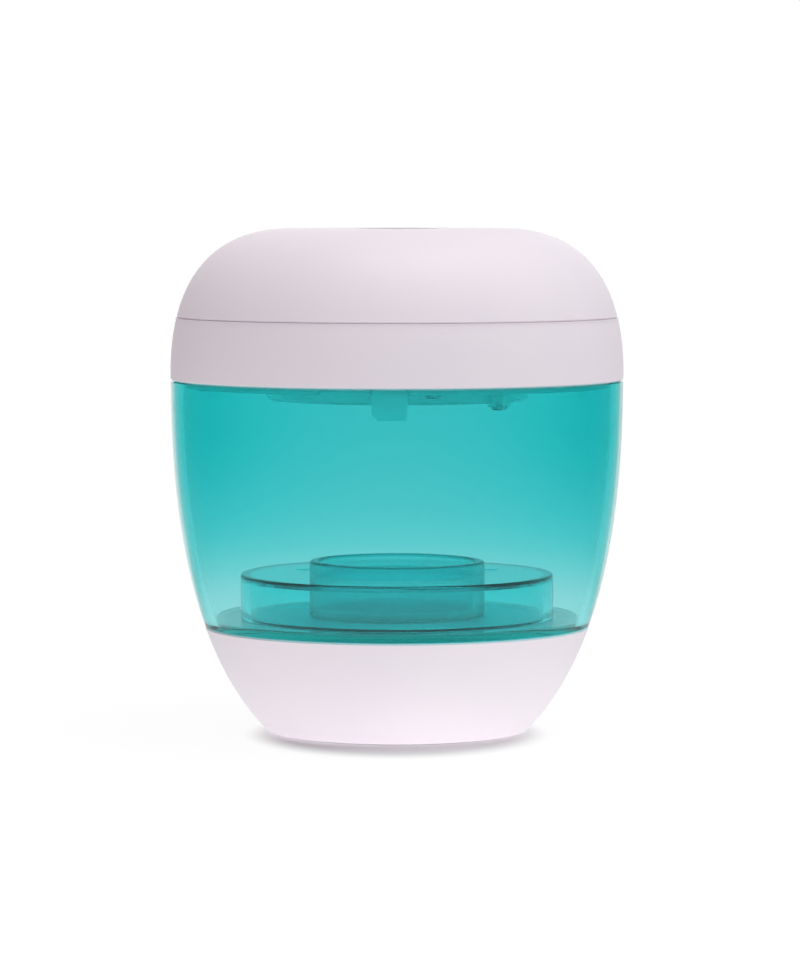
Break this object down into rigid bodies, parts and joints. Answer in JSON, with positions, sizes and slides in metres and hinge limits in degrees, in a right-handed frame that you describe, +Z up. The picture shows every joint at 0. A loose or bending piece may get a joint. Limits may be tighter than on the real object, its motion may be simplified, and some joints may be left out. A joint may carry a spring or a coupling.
{
  "type": "portable uv steriliser",
  "caption": "Round portable ultraviolet steriliser for bottle teats and soothers: tinted chamber with a lift-out rack, white base, hinged lamp lid and twist-off dome.",
  "frame": {"origin": "middle of the rubber pad's underside, on the surface that the object stands on", "axes": "+Z up through the casing, -Y towards the front with the latch tongue, +Y towards the hinge"},
  "size_m": [0.09, 0.0946, 0.1004],
  "materials": {
    "white_shell": "satin moulded",
    "teal_window": "transparent polished",
    "clear_rack": "transparent polished",
    "tinted_collar": "transparent satin",
    "clear_lens": "transparent polished",
    "light_guide": "frosted translucent",
    "foot_rubber": "matte",
    "ballast_iron": "as cast",
    "steel": "zinc plated",
    "bright_sheet": "bright rolled",
    "lamp_glass": "clear polished",
    "cap_plastic": "matte",
    "board_green": "solder mask",
    "black_plastic": "matte moulded",
    "plunger_plastic": "satin",
    "copper": "enamelled wire",
    "cell_wrap": "printed wrap, left plain"
  },
  "bodies": {
    "base": {"base_shell": "white_shell", "window": "teal_window", "foot_pad": "foot_rubber", "ballast_ring": "ballast_iron", "floor_reflector": "bright_sheet", "base_screws": "steel", "hinge_pin": "steel"},
    "rack": {"rack_drum": "clear_rack", "rack_collar": "tinted_collar"},
    "lid": {"lid_band": "white_shell", "lamp_tray": "white_shell", "front_latch": "white_shell", "lamp_reflector": "bright_sheet", "uv_lamp": "lamp_glass", "lamp_caps": "cap_plastic", "lamp_lens": "clear_lens", "lens_screws": "steel", "tray_screws": "steel", "lamp_leads": "cap_plastic", "main_board": "board_green", "board_screws": "steel", "power_switch": "black_plastic", "usb_socket": "bright_sheet", "control_chip": "black_plastic", "inverter_coil": "copper", "capacitors": "black_plastic", "status_led": "light_guide", "lid_detector": "black_plastic", "battery_tray": "white_shell", "battery_tray_screws": "steel", "battery_cells": "cell_wrap", "battery_contacts": "bright_sheet"},
    "dome": {"dome": "white_shell", "light_pipe": "light_guide"},
    "button": {"power_button": "white_shell"},
    "plunger": {"safety_plunger": "plunger_plastic"}
  },
  "joints": [
    {"name": "lid_hinge", "type": "hinge", "parent": "base", "child": "lid", "pos_m": [0, 0.0468, 0.07025], "axis": [-1, 0, 0], "range_deg": [0, 100]},
    {"name": "rack_lift", "type": "slide", "parent": "base", "child": "rack", "axis": [0, 0, 1], "range_m": [0, 0.028]},
    {"name": "dome_twist", "type": "hinge", "parent": "lid", "child": "dome", "pos_m": [0, 0, 0.0826], "axis": [0, 0, 1], "range_deg": [0, 20]},
    {"name": "button_press", "type": "slide", "parent": "dome", "child": "button", "axis": [0, 0, -1], "range_m": [0, 0.0008], "stiffness_N_per_m": 300, "springref_m": -0.0005},
    {"name": "plunger_slide", "type": "slide", "parent": "lid", "child": "plunger", "axis": [0, 0, -1], "range_m": [0, 0.0009]}
  ],
  "couplings": [
    {"joint": "plunger_slide", "follows": "lid_hinge", "m_per_rad": 0.000515}
  ]
}
